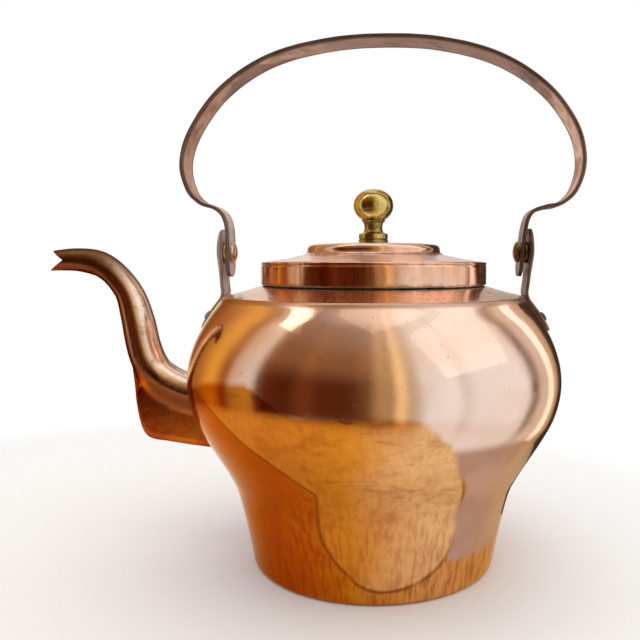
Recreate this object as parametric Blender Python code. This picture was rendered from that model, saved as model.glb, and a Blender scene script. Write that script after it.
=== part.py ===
"""Copper kettle with a swinging strap handle and a lift-off lid.

Metres, +Z up. The origin is the centre of the underside, the spout points along -X and
the handle swings about an X axis through its two pivot rivets. Outlines below are in
millimetres, as (radius, height) for turned pieces and (x, z) for the handle and spout.
"""

import math

import bmesh
import bpy
from mathutils import Matrix, Vector

MM = 0.001

# Driving sizes, in millimetres
GAP = 0.3  # between pieces that touch
SHEET = 1.2  # copper of the body
LID_SHEET = 1.0
ROUND_STEPS = 48  # facets around the large turned pieces
SMALL_STEPS = 16  # facets around the rivets and washers

BASE_RADIUS = 68.4
BASE_EDGE = 3.2  # radius of the rounded bottom edge
BASE_LIP = 58.0  # inner radius of the wall's turned-in lip
CREASE = (83.3, 149.5)  # where the wall meets the shoulder
NECK_HOLE = (61.4, 155.4)  # inner edge of the shoulder, on its upper side

COLLAR_RADIUS = 61.0
COLLAR_TOP = 166.0
LID_RADIUS = 63.0
LID_BOTTOM = 155.6
LID_EDGE = 168.0
LID_CROWN = 178.7

PIVOT_Z = 173.8
STRAP_WIDTH = 21.0
STRAP_LEG_WIDTH = 17.6  # where the strap hangs beside the neck
STRAP_WIDENS = (30.0, 62.0)  # stretch along the strap, from either tip, where it widens
STRAP_THICK = 2.0
STRAP_END = 7.0  # corner radius of the strap's two ends
PIVOT_SHANK = 3.0  # radius

EAR_THICK = 1.6
EAR_WIDTH = 18.0
EYE_RADIUS = 13.0
FOOT_END_Z = 129.8
FOOT_RIVET_Z = 137.0
FOOT_RIVET_Y = 4.4
FOOT_SHANK = 1.4  # radius

SPOUT_SHEET = 1.0
SPOUT_RING = 9  # points down each side of a spout section

# Outside of the side wall above the rounded bottom edge
WALL_LINE = [
    (68.6, 3.4), (71.4, 18.5), (74.3, 31.5), (77.9, 44.5), (82.3, 53.6), (88.0, 63.2),
    (95.4, 75.6), (100.3, 85.4), (103.0, 95.6), (103.6, 105.0), (102.2, 115.2),
    (98.4, 126.2), (92.0, 137.8), (84.7, 147.7),
]

# Outside of the lid's top, from its edge to the hole for the knob's screw
LID_LINE = [
    (63.0, 168.0), (48.8, 170.2), (42.8, 171.5), (39.4, 172.2), (37.8, 173.3), (37.4, 175.3),
    (36.4, 177.0), (33.6, 178.1), (29.0, 178.4), (14.0, 178.7), (2.4, 178.7),
]

# Outside of the knob, from its foot to its crown
KNOB_LINE = [
    (8.2, 179.0), (8.3, 180.6), (7.9, 180.9), (8.2, 181.3), (8.1, 184.0), (6.0, 184.8),
    (5.1, 186.6), (5.1, 188.6), (6.0, 190.8), (6.9, 191.7), (8.4, 193.4), (10.1, 195.6),
    (11.0, 198.0), (11.2, 200.0), (10.7, 202.7), (9.3, 205.2), (7.0, 207.2), (3.9, 208.6),
    (0.0, 209.0),
]

# Middle of the handle strap from its left tip, over the top, to its right tip
STRAP_LINE = [
    (-81.8, 160.0), (-81.8, 174.0), (-82.0, 187.0), (-84.2, 194.4), (-89.0, 198.6),
    (-96.2, 201.0), (-103.3, 208.4), (-106.6, 224.0), (-100.6, 242.2), (-83.4, 264.0),
    (-57.6, 280.1), (-26.0, 288.0), (5.5, 290.0), (37.0, 287.7), (68.0, 279.1),
    (93.6, 262.6), (109.5, 241.4), (113.9, 223.0), (110.2, 207.8), (102.6, 200.2),
    (94.0, 198.3), (87.0, 195.4), (84.0, 189.0), (82.1, 174.0), (81.2, 160.4),
]

# Sections of the spout from its mouth to inside the wall:
# (x, z) of the inner line, (x, z) of the outer line, and half of the tube's width
SPOUT_LINE = [
    (-188.5, 174.6, -188.5, 163.4, 6.2),
    (-172.0, 176.3, -172.5, 163.1, 6.6),
    (-156.5, 174.5, -160.3, 160.1, 7.4),
    (-144.3, 166.7, -153.5, 156.1, 7.5),
    (-133.3, 152.8, -148.2, 148.6, 8.1),
    (-127.1, 136.5, -145.3, 135.8, 9.4),
    (-123.6, 121.5, -142.2, 119.0, 9.8),
    (-119.4, 111.8, -138.7, 95.0, 10.1),
    (-114.2, 107.7, -135.3, 74.5, 10.3),
    (-112.0, 106.5, -130.6, 66.4, 10.4),
    (-107.5, 104.4, -119.0, 63.9, 10.5),
    (-100.0, 102.0, -98.0, 61.1, 10.6),
    (-90.0, 99.8, -77.0, 59.0, 10.7),
]
SPOUT_KEEL = 5.4  # half width of the flat keel under the tube
SPOUT_KEEL_ROUND = 3.2
SPOUT_NOTCH = [(-177.7, 169.4), (-192.0, 179.7), (-192.0, 159.7)]


# Scene and materials

def clear_scene():
    for old in list(bpy.data.objects):
        bpy.data.objects.remove(old, do_unlink=True)


def metal(name, colour, roughness):
    made = bpy.data.materials.new(name)
    made.use_nodes = True
    shader = made.node_tree.nodes["Principled BSDF"]
    shader.inputs["Base Color"].default_value = (*colour, 1.0)
    shader.inputs["Metallic"].default_value = 1.0
    shader.inputs["Roughness"].default_value = roughness
    return made


def polished_copper(name):
    return metal(name, (0.86, 0.45, 0.28), 0.12)


def satin_copper(name):
    return metal(name, (0.62, 0.33, 0.17), 0.28)


def aged_copper(name):
    return metal(name, (0.42, 0.26, 0.19), 0.42)


def brass(name):
    return metal(name, (0.80, 0.58, 0.22), 0.16)


def tinned(name):
    return metal(name, (0.62, 0.60, 0.57), 0.40)


# Curves and outlines

def smooth_path(points, per_span):
    """A curve through the points, leaving each along the line between its neighbours."""
    spots = [Vector(p) for p in points]
    last = len(spots) - 1
    ways = []
    for i in range(last + 1):
        way = spots[min(i + 1, last)] - spots[max(i - 1, 0)]
        ways.append(way.normalized())
    path = []
    for i in range(last):
        start = spots[i]
        end = spots[i + 1]
        reach = (end - start).length
        for step in range(per_span):
            t = step / per_span
            h = t * t * (3 - 2 * t)
            bend_in = reach * t * (1 - t) ** 2
            bend_out = reach * t * t * (1 - t)
            path.append(start.lerp(end, h) + ways[i] * bend_in - ways[i + 1] * bend_out)
    path.append(spots[last])
    return path


def normals(path):
    """The unit normal on the right of the path at each of its points."""
    last = len(path) - 1
    found = []
    for i in range(last + 1):
        way = path[min(i + 1, last)] - path[max(i - 1, 0)]
        found.append(Vector((way[1], -way[0])).normalized())
    return found


def offset(path, distance):
    """The path moved sideways to its right."""
    return [spot + side * distance for spot, side in zip(path, normals(path))]


def wall_outside(per_span=1):
    return smooth_path(WALL_LINE, per_span)


def at_height(path, z):
    """The point of a rising path at height z, and the way out of the surface there."""
    for below, above in zip(path, path[1:]):
        if below[1] <= z <= above[1]:
            t = (z - below[1]) / (above[1] - below[1])
            way = (above - below).normalized()
            return below.lerp(above, t), Vector((way[1], -way[0]))
    raise ValueError("the path never reaches that height")


# Meshes

def finish(mesh, name, material, parent=None, smooth=True):
    bmesh.ops.recalc_face_normals(mesh, faces=mesh.faces)
    data = bpy.data.meshes.new(name)
    mesh.to_mesh(data)
    mesh.free()
    if smooth:
        data.shade_smooth()
        data.set_sharp_from_angle(angle=math.radians(35))
    data.materials.append(material)
    made = bpy.data.objects.new(name, data)
    bpy.context.collection.objects.link(made)
    if parent:
        made.parent = parent
        made.location = -parent.location
    return made


def turned(outline, steps):
    """A body of revolution about Z from a closed (radius, height) outline in millimetres."""
    mesh = bmesh.new()
    rings = []
    for radius, height in outline:
        if radius < 1e-6:
            rings.append([mesh.verts.new((0.0, 0.0, height * MM))] * steps)
            continue
        ring = []
        for step in range(steps):
            angle = 2 * math.pi * step / steps
            spot = (radius * math.cos(angle), radius * math.sin(angle), height)
            ring.append(mesh.verts.new(Vector(spot) * MM))
        rings.append(ring)
    for first, second in zip(rings, rings[1:] + rings[:1]):
        for step in range(steps):
            after = (step + 1) % steps
            corners = [first[step], first[after], second[after], second[step]]
            corners = list(dict.fromkeys(corners))
            if len(corners) > 2:
                mesh.faces.new(corners)
    return mesh


def lofted(rings):
    """A capped skin over rings of the same number of points, in millimetres."""
    mesh = bmesh.new()
    made = [[mesh.verts.new(Vector(spot) * MM) for spot in ring] for ring in rings]
    for first, second in zip(made, made[1:]):
        for i in range(len(first)):
            after = (i + 1) % len(first)
            mesh.faces.new((first[i], first[after], second[after], second[i]))
    mesh.faces.new(made[0])
    mesh.faces.new(list(reversed(made[-1])))
    return mesh


def cutter(name, mesh):
    made = finish(mesh, name, polished_copper(name), smooth=False)
    made.hide_render = True
    made.display_type = "WIRE"
    return made


def cut(target, tool):
    step = target.modifiers.new("cut " + tool.name, "BOOLEAN")
    step.operation = "DIFFERENCE"
    step.solver = "EXACT"
    step.object = tool


def round_hole(name, centre, way, radius, reach):
    """A cutter for a round hole through centre (millimetres) along way."""
    outline = [(0.0, -reach), (radius, -reach), (radius, reach), (0.0, reach)]
    mesh = turned(outline, SMALL_STEPS)
    turn = Vector(way).to_track_quat("Z", "Y").to_matrix().to_4x4()
    bmesh.ops.transform(mesh, matrix=Matrix.Translation(Vector(centre) * MM) @ turn, verts=mesh.verts)
    return cutter(name, mesh)


# Body

def body_wall():
    """The side wall, turned in under the kettle as a narrow lip."""
    corner = []
    for step in range(5):
        angle = math.pi / 2 * step / 4
        radius = BASE_RADIUS - BASE_EDGE + BASE_EDGE * math.sin(angle)
        corner.append(Vector((radius, BASE_EDGE - BASE_EDGE * math.cos(angle))))
    outside = [Vector((BASE_LIP, 0.0))] + corner[:-1] + wall_outside()
    inside = offset(outside, -SHEET)
    inside[0] = Vector((BASE_LIP, SHEET))
    mesh = turned(outside + inside[::-1], ROUND_STEPS)
    return finish(mesh, "body_wall", polished_copper("wall_copper"))


def base_plate():
    radius = BASE_LIP - GAP
    outline = [(0.0, 0.0), (radius, 0.0), (radius, SHEET), (0.0, SHEET)]
    return finish(turned(outline, ROUND_STEPS), "base_plate", satin_copper("base_copper"))


def shoulder_plate():
    outline = [
        CREASE,
        NECK_HOLE,
        (NECK_HOLE[0], NECK_HOLE[1] - SHEET),
        (CREASE[0], CREASE[1] - SHEET),
    ]
    return finish(turned(outline, ROUND_STEPS), "shoulder_plate", polished_copper("shoulder_copper"))


def neck_collar():
    """The upright ring under the lid, with a flange below the shoulder plate."""
    bore = COLLAR_RADIUS - SHEET
    outline = [
        (COLLAR_RADIUS, COLLAR_TOP),
        (COLLAR_RADIUS, 153.9),
        (67.0, 152.2),
        (67.0, 151.1),
        (bore, 153.0),
        (bore, COLLAR_TOP),
    ]
    return finish(turned(outline, ROUND_STEPS), "neck_collar", tinned("collar_tin"))


# Spout

def spout_section(upper, lower, half_width, inset):
    """One closed section: a round tube that eases into a flat keel where the section is deep."""
    down = (lower - upper).normalized()
    start = upper + down * inset
    depth = (lower - upper).length - 2 * inset
    tube = half_width - inset
    deep = max(0.0, min(1.0, (depth - 2 * tube) / (0.8 * tube)))
    side = []
    for step in range(SPOUT_RING + 1):
        s = depth * (1 - math.cos(math.pi * step / SPOUT_RING)) / 2
        across = math.sqrt(max(0.0, tube ** 2 - (min(s, 2 * tube) - tube) ** 2))
        past = max(0.0, s - depth + SPOUT_KEEL_ROUND) / SPOUT_KEEL_ROUND
        keel = (SPOUT_KEEL - inset) * math.sqrt(max(0.0, 1 - past ** 2))
        waist = (1 + math.cos(math.pi * min(1.0, max(0.0, s / tube - 1)))) / 2
        flared = keel + (tube - keel) * waist if s > tube else across
        side.append((start + down * s, across + (flared - across) * deep))
    front = [(spot[0], -wide, spot[1]) for spot, wide in side]
    back = [(spot[0], wide, spot[1]) for spot, wide in side[1:-1]]
    return front + back[::-1]


def spout_rings(inset, per_span=2):
    rows = smooth_path([row[:2] for row in SPOUT_LINE], per_span)
    outer = smooth_path([row[2:4] for row in SPOUT_LINE], per_span)
    widths = smooth_path([(i, row[4]) for i, row in enumerate(SPOUT_LINE)], per_span)
    rings = []
    for upper, lower, width in zip(rows, outer, widths):
        rings.append(spout_section(upper, lower, width[1], inset))
    return rings


def spout(bore):
    made = finish(lofted(spout_rings(0.0)), "spout", satin_copper("spout_copper"))
    wall = [Vector((0.0, 20.0))] + offset(wall_outside(), GAP) + [Vector((0.0, CREASE[1]))]
    mouth = bmesh.new()
    for y in (-20.0, 20.0):
        mesh_face = [mouth.verts.new(Vector((x, y, z)) * MM) for x, z in SPOUT_NOTCH]
        mouth.faces.new(mesh_face)
    mouth.verts.ensure_lookup_table()
    for i in range(3):
        after = (i + 1) % 3
        mouth.faces.new((mouth.verts[i], mouth.verts[after], mouth.verts[after + 3], mouth.verts[i + 3]))
    cut(made, bore)
    cut(made, cutter("wall_cutter", turned(wall, ROUND_STEPS)))
    cut(made, cutter("mouth_cutter", mouth))
    return made


# Handle and its ears

def strap_half_width(path):
    """Half of the strap's width at each point: rounded tips, narrow legs and a wider bow."""
    run = [0.0]
    for before, after in zip(path, path[1:]):
        run.append(run[-1] + (after - before).length)
    widths = []
    for along in run:
        from_tip = min(along, run[-1] - along)
        t = (from_tip - STRAP_WIDENS[0]) / (STRAP_WIDENS[1] - STRAP_WIDENS[0])
        t = max(0.0, min(1.0, t))
        full = STRAP_LEG_WIDTH + (STRAP_WIDTH - STRAP_LEG_WIDTH) * t * t * (3 - 2 * t)
        short = max(0.0, STRAP_END - from_tip)
        widths.append(full / 2 - STRAP_END + math.sqrt(STRAP_END ** 2 - short ** 2))
    return widths


def strap_path(per_span=3):
    path = smooth_path(STRAP_LINE, per_span)
    for end, inner in ((path[0], path[1]), (path[-1], path[-2])):
        way = (inner - end).normalized()
        extra = [end + way * STRAP_END * part for part in (0.06, 0.25, 0.55)]
        if end is path[0]:
            path = [path[0]] + extra + path[2:]
        else:
            path = path[:-2] + extra[::-1] + [path[-1]]
    return path


def handle_strap(pivot):
    path = strap_path()
    rings = []
    for spot, side, half in zip(path, normals(path), strap_half_width(path)):
        out = spot - side * STRAP_THICK / 2
        into = spot + side * STRAP_THICK / 2
        ring = [(out[0], -half, out[1]), (out[0], half, out[1])]
        ring += [(into[0], half, into[1]), (into[0], -half, into[1])]
        rings.append(ring)
    made = finish(lofted(rings), "handle_strap", aged_copper("handle_copper"), pivot)
    cut(made, pivot_hole())
    return made


def pivot_hole():
    known = bpy.data.objects.get("pivot_hole_cutter")
    if known:
        return known
    return round_hole("pivot_hole_cutter", (0, 0, PIVOT_Z), (1, 0, 0), PIVOT_SHANK + GAP, 120.0)


def ear_line(eye_x):
    """Middle of an ear as (radius, height): up along the wall, then upright to the eye's top."""
    wall = wall_outside(3)
    standing = GAP + EAR_THICK / 2
    foot = []
    for step in range(5):
        z = FOOT_END_Z + (CREASE[1] - 2.6 - FOOT_END_Z) * step / 4
        spot, way = at_height(wall, z)
        foot.append(spot + way * standing)
    bend = [Vector((85.4, 149.6)), Vector((85.0, 151.6)), Vector((85.2, 155.0))]
    upright = []
    for z in (160.0, 163.0, 166.0, 170.0, PIVOT_Z, 178.0, 182.0, 184.8, 186.4, 186.8):
        lean = min(1.0, (z - 155.0) / (PIVOT_Z - 155.0))
        upright.append(Vector((85.2 + (eye_x - 85.2) * lean, z)))
    return foot + bend + upright


def ear_half_width(z):
    """Half width of an ear at a height, the eye's circle blended into the straight upright."""
    plain = EAR_WIDTH / 2
    if z > PIVOT_Z:
        return math.sqrt(max(0.01, EYE_RADIUS ** 2 - (z - PIVOT_Z) ** 2))
    if z < 158.0:
        return plain
    t = (z - 158.0) / (PIVOT_Z - 158.0)
    return plain + (EYE_RADIUS - plain) * t * t * (3 - 2 * t)


def ear(name, turn, eye_x):
    """One ear, wrapped round the wall along its foot and flat at its eye, turned to its side."""
    line = ear_line(eye_x)
    rings = []
    for spot, side in zip(line, normals(line)):
        half = ear_half_width(spot[1])
        hug = max(0.0, min(1.0, (158.0 - spot[1]) / 8.0))
        ring = []
        for face, ys in ((0.5, (-1, -0.5, 0, 0.5, 1)), (-0.5, (1, 0.5, 0, -0.5, -1))):
            place = spot + side * EAR_THICK * face
            for share in ys:
                y = half * share
                drop = place[0] - math.sqrt(place[0] ** 2 - y ** 2)
                ring.append((place[0] - hug * drop, y, place[1]))
        rings.append(ring)
    mesh = lofted(rings)
    bmesh.ops.rotate(mesh, cent=(0, 0, 0), matrix=Matrix.Rotation(turn, 3, "Z"), verts=mesh.verts)
    made = finish(mesh, name, aged_copper(name + "_copper"))
    cut(made, pivot_hole())
    return made


def placed(mesh, name, material, centre, way, parent=None):
    """A turned piece stood at centre (millimetres) with its own Z along way."""
    turn = Vector(way).to_track_quat("Z", "Y").to_matrix().to_4x4()
    bmesh.ops.transform(mesh, matrix=Matrix.Translation(Vector(centre) * MM) @ turn, verts=mesh.verts)
    return finish(mesh, name, material, parent)


def pivot_rivet(name, side, head_x, ear_x):
    """A dome-headed rivet, its head inside the handle and its tail peened outside the ear."""
    head = 5.8
    length = ear_x - head_x
    outline = [
        (0.0, -2.7), (2.4, -2.4), (4.4, -1.5), (head, -0.1), (head, 0.0), (PIVOT_SHANK, 0.0),
        (PIVOT_SHANK, length), (4.4, length), (4.1, length + 0.9), (2.4, length + 1.4),
        (0.0, length + 1.5),
    ]
    mesh = turned(outline, SMALL_STEPS)
    return placed(mesh, name, brass(name + "_brass"), (side * head_x, 0, PIVOT_Z), (side, 0, 0))


def pivot_washer(name, side, start_x, end_x):
    outline = [
        (PIVOT_SHANK + GAP, 0.0),
        (6.2, 0.0),
        (6.2, end_x - start_x),
        (PIVOT_SHANK + GAP, end_x - start_x),
    ]
    mesh = turned(outline, SMALL_STEPS)
    return placed(mesh, name, brass(name + "_brass"), (side * start_x, 0, PIVOT_Z), (side, 0, 0))


def foot_place(side, y):
    """Where a foot rivet crosses the wall's outside, and the way out of the wall there."""
    spot, way = at_height(wall_outside(3), FOOT_RIVET_Z)
    angle = math.asin(y / spot[0])
    flat = Vector((math.cos(angle), math.sin(angle), 0.0))
    centre = flat * spot[0] + Vector((0, 0, spot[1]))
    out = flat * way[0] + Vector((0, 0, way[1]))
    turn = Matrix.Rotation(0.0 if side > 0 else math.pi, 3, "Z")
    return turn @ centre, turn @ out


def foot_rivet(name, side, y):
    """A small rivet through the foot and the wall, peened inside."""
    centre, out = foot_place(side, y)
    top = 2 * GAP + EAR_THICK
    tail = -SHEET - GAP
    outline = [
        (0.0, tail - 1.1), (2.2, tail - 0.8), (2.5, tail), (FOOT_SHANK, tail),
        (FOOT_SHANK, top), (2.7, top), (2.5, top + 0.7), (1.4, top + 1.2), (0.0, top + 1.3),
    ]
    placed(turned(outline, 12), name, aged_copper(name + "_copper"), centre, out)
    return round_hole(name + "_cutter", centre, out, FOOT_SHANK + GAP, 5.0)


# Lid

def lid_skirt(lid):
    outline = [
        (LID_RADIUS, LID_BOTTOM),
        (LID_RADIUS, LID_EDGE - 1.7),
        (LID_RADIUS - LID_SHEET, LID_EDGE - 1.7),
        (LID_RADIUS - LID_SHEET, LID_BOTTOM),
    ]
    return finish(turned(outline, ROUND_STEPS), "lid_skirt", polished_copper("skirt_copper"), lid)


def lid_cover(lid):
    """The raised top, with its edge folded down over the skirt."""
    outside = [Vector(p) for p in LID_LINE]
    inside = offset(outside, -LID_SHEET)
    inside[0] = Vector((LID_RADIUS - LID_SHEET, LID_EDGE - 0.9))
    edge = [Vector((LID_RADIUS - LID_SHEET, LID_EDGE - 1.4)), Vector((LID_RADIUS, LID_EDGE - 1.4))]
    inside[-1] = Vector((LID_LINE[-1][0], LID_CROWN - LID_SHEET))
    mesh = turned(outside + inside[::-1] + edge, ROUND_STEPS)
    return finish(mesh, "lid_cover", polished_copper("cover_copper"), lid)


def lid_knob(lid):
    foot = LID_CROWN + GAP
    hole = [(0.0, 192.0), (2.3, 192.0), (2.3, foot)]
    mesh = turned(hole + KNOB_LINE, 24)
    return finish(mesh, "lid_knob", brass("knob_brass"), lid)


def knob_washer(lid):
    top = LID_CROWN - LID_SHEET - GAP
    outline = [(2.4, top), (7.0, top), (7.0, top - 1.0), (2.4, top - 1.0)]
    return finish(turned(outline, SMALL_STEPS), "knob_washer", tinned("washer_tin"), lid)


def knob_screw(lid):
    top = LID_CROWN - LID_SHEET - 2 * GAP - 1.0
    outline = [(0.0, 191.4), (2.0, 191.4), (2.0, top), (4.2, top), (4.0, top - 2.4), (0.0, top - 2.6)]
    return finish(turned(outline, SMALL_STEPS), "knob_screw", brass("screw_brass"), lid)


def empty(name, location):
    made = bpy.data.objects.new(name, None)
    made.location = Vector(location) * MM
    bpy.context.collection.objects.link(made)
    return made


def build():
    clear_scene()
    pivot = empty("handle_pivot", (0, 0, PIVOT_Z))
    lid = empty("lid_lift", (0, 0, LID_BOTTOM))

    wall = body_wall()
    base_plate()
    shoulder_plate()
    neck_collar()
    bore = cutter("bore_cutter", lofted(spout_rings(SPOUT_SHEET)))
    cut(wall, bore)
    spout(bore)

    handle_strap(pivot)
    ears = {-1: ear("bracket_left", math.pi, 85.7), 1: ear("bracket_right", 0.0, 86.7)}
    pivot_rivet("pivot_rivet_left", -1, 80.4, 86.9)
    pivot_rivet("pivot_rivet_right", 1, 80.4, 87.9)
    pivot_washer("pivot_washer_left", -1, 83.2, 84.5)
    pivot_washer("pivot_washer_right", 1, 83.8, 85.4)
    for side, word in ((-1, "left"), (1, "right")):
        for y, end in ((-FOOT_RIVET_Y * side, "front"), (FOOT_RIVET_Y * side, "rear")):
            hole = foot_rivet(f"foot_rivet_{word}_{end}", side, y)
            cut(wall, hole)
            cut(ears[side], hole)

    lid_skirt(lid)
    lid_cover(lid)
    lid_knob(lid)
    knob_washer(lid)
    knob_screw(lid)


build()
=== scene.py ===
"""Looks of the copper kettle: smooth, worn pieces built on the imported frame, with their metals.

Metres, +Z up. The outlines are in millimetres and follow the frame's solids: (radius, height)
for turned pieces, (x, z) for the strap and the spout. Every finished piece is fitted to the
box of the solid that it stands for.
"""

import math

import bmesh
import bpy
from mathutils import Matrix, Vector, noise


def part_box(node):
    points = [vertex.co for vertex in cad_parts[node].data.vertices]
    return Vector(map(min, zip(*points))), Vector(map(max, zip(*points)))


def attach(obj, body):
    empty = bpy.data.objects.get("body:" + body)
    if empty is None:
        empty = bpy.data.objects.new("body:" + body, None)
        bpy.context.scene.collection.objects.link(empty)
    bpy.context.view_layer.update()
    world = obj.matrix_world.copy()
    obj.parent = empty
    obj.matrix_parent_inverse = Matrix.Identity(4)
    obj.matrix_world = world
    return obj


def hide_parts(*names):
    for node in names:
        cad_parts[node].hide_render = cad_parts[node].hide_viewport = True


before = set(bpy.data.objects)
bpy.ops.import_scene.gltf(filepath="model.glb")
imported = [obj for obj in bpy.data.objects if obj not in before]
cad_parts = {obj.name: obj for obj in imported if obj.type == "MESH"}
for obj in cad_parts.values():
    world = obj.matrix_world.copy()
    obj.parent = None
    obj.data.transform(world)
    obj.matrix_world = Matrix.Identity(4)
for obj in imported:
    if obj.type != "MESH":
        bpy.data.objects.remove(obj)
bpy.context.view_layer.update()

MM = 0.001

# Driving sizes, in millimetres
SHEET = 1.2  # copper of the body
LID_SHEET = 1.0
LARGE_STEPS = 256  # facets around the body
LID_STEPS = 192
SMALL_STEPS = 48
FLOOR_STEPS = 96

BASE_RADIUS = 68.4
BASE_EDGE = 3.2  # radius of the rounded bottom edge
BASE_LIP = 58.0  # inner radius of the wall's turned-in lip
BASE_RISE = 0.12  # how far the disc rises at its middle
CREASE = (83.3, 149.5)  # where the wall meets the shoulder
NECK_HOLE = (61.4, 155.4)
SHOULDER_SAG = 0.25

COLLAR_RADIUS = 61.0
COLLAR_TOP = 166.0
LID_RADIUS = 63.0
LID_BOTTOM = 155.6
LID_EDGE = 168.0
LID_CROWN = 178.7

PIVOT_Z = 173.8
STRAP_WIDTH = 21.0
STRAP_LEG_WIDTH = 17.6
STRAP_WIDENS = (30.0, 62.0)
STRAP_THICK = 2.0
STRAP_END = 7.0
PIVOT_SHANK = 3.0
PIVOT_HEAD = (5.8, 2.5)  # radius and height of the rivet's dome, as in the pairs below
PIVOT_TAIL = (4.4, 1.5)
WASHER_RADIUS = 6.2

EAR_THICK = 1.6
EAR_WIDTH = 18.0
EYE_RADIUS = 13.0
EAR_GAP = 0.1  # between the ear's foot and the wall
FOOT_END_Z = 129.8
FOOT_CORNER = 6.0
FOOT_RIVET_Z = 137.0
FOOT_RIVET_Y = 4.4
FOOT_RIVET_SHANK = 1.4
FOOT_RIVET_HEAD = (2.7, 1.25)
FOOT_RIVET_TAIL = (2.5, 1.05)

SCREW_HOLE = 2.4
SCREW_SHANK = 2.0
SCREW_HEAD = (4.2, 2.4)
SCREW_TOP = 191.4

SPOUT_SHEET = 1.0
SPOUT_RING = 26  # points down each side of a spout section
SPOUT_KEEL = 5.4
SPOUT_KEEL_ROUND = 3.2
SPOUT_SPANS = 9  # rings between two of the spout's stated sections
SPOUT_NOTCH = [(-177.7, 169.4), (-192.0, 179.7), (-192.0, 159.7)]

WALL_LINE = [
    (68.6, 3.4), (71.4, 18.5), (74.3, 31.5), (77.9, 44.5), (82.3, 53.6), (88.0, 63.2),
    (95.4, 75.6), (100.3, 85.4), (103.0, 95.6), (103.6, 105.0), (102.2, 115.2),
    (98.4, 126.2), (92.0, 137.8), (84.7, 147.7),
]

LID_STEP = [(63.0, 168.0), (48.8, 170.2), (42.8, 171.5), (39.4, 172.2)]
LID_RISE = [(37.8, 173.2), (37.4, 174.4), (37.3, 175.6), (36.5, 177.1), (35.0, 177.9), (32.4, 178.2)]
LID_TOP = [(29.0, 178.4), (14.0, 178.65), (2.4, 178.7)]

KNOB_FOOT = [(8.15, 179.0), (8.3, 179.4), (8.3, 180.5), (7.8, 180.9), (8.2, 181.3), (8.15, 183.8)]
KNOB_NECK = [(7.6, 184.3), (6.0, 184.8), (5.1, 186.6), (5.1, 188.6), (5.7, 190.4)]
KNOB_RIDGE = [(6.4, 190.8), (6.75, 191.3), (6.4, 191.8)]
KNOB_BALL = [
    (6.9, 192.2), (8.4, 193.4), (10.1, 195.6), (11.0, 198.0), (11.2, 200.0), (10.7, 202.7),
    (9.3, 205.2), (7.0, 207.2), (3.9, 208.6), (0.0, 209.0),
]

STRAP_LINE = [
    (-81.8, 160.0), (-81.8, 174.0), (-82.0, 187.0), (-84.2, 194.4), (-89.0, 198.6),
    (-96.2, 201.0), (-103.3, 208.4), (-106.6, 224.0), (-100.6, 242.2), (-83.4, 264.0),
    (-57.6, 280.1), (-26.0, 288.0), (5.5, 290.0), (37.0, 287.7), (68.0, 279.1),
    (93.6, 262.6), (109.5, 241.4), (113.9, 223.0), (110.2, 207.8), (102.6, 200.2),
    (94.0, 198.3), (87.0, 195.4), (84.0, 189.0), (82.1, 174.0), (81.2, 160.4),
]

# Inner (x, z), outer (x, z) and half width of the spout's sections, from its mouth to the wall
SPOUT_LINE = [
    (-188.5, 174.6, -188.5, 163.4, 6.2),
    (-172.0, 176.3, -172.5, 163.1, 6.6),
    (-156.5, 174.5, -160.3, 160.1, 7.4),
    (-144.3, 166.7, -153.5, 156.1, 7.5),
    (-133.3, 152.8, -148.2, 148.6, 8.1),
    (-127.1, 136.5, -145.3, 135.8, 9.4),
    (-123.6, 121.5, -142.2, 119.0, 9.8),
    (-119.4, 111.8, -138.7, 95.0, 10.1),
    (-114.2, 107.7, -135.3, 74.5, 10.3),
    (-112.0, 106.5, -130.6, 66.4, 10.4),
    (-107.5, 104.4, -119.0, 63.9, 10.5),
    (-100.0, 102.0, -98.0, 61.1, 10.6),
    (-90.0, 99.8, -77.0, 59.0, 10.7),
]


# Material nodes

class Nodes:
    """A node tree, with short names for the nodes that it needs."""

    def __init__(self, tree, place):
        self.tree = tree
        self.place = self.node("ShaderNodeTexCoord").outputs[place]
        self.x, self.y, self.z = self.split(self.place)

    def node(self, kind, **settings):
        made = self.tree.nodes.new(kind)
        for key, value in settings.items():
            setattr(made, key, value)
        return made

    def put(self, value, socket):
        if isinstance(value, bpy.types.NodeSocket):
            self.tree.links.new(value, socket)
        elif isinstance(value, tuple) and len(value) == 3 and socket.type == "RGBA":
            socket.default_value = (*value, 1.0)
        else:
            socket.default_value = value

    def maths(self, operation, *values):
        made = self.node("ShaderNodeMath", operation=operation)
        for i, value in enumerate(values):
            self.put(value, made.inputs[i])
        return made.outputs[0]

    def times(self, *values):
        out = values[0]
        for value in values[1:]:
            out = self.maths("MULTIPLY", out, value)
        return out

    def plus(self, *values):
        out = values[0]
        for value in values[1:]:
            out = self.maths("ADD", out, value)
        return out

    def highest(self, *values):
        out = values[0]
        for value in values[1:]:
            out = self.maths("MAXIMUM", out, value)
        return out

    def band(self, value, low, high, bottom=0.0, top=1.0):
        """A smooth step from bottom at low to top at high."""
        made = self.node("ShaderNodeMapRange", interpolation_type="SMOOTHSTEP")
        for socket, given in zip(made.inputs, (value, low, high, bottom, top)):
            self.put(given, socket)
        return made.outputs[0]

    def blend(self, share, first, second):
        made = self.node("ShaderNodeMix", data_type="RGBA")
        self.put(share, made.inputs[0])
        self.put(first, made.inputs[6])
        self.put(second, made.inputs[7])
        return made.outputs[2]

    def over(self, colour, tint, *shares):
        """The colour with a tint laid over it, as strong as the product of the shares."""
        return self.blend(self.times(*shares), colour, tint)

    def split(self, vector):
        made = self.node("ShaderNodeSeparateXYZ")
        self.put(vector, made.inputs[0])
        return made.outputs


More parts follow.
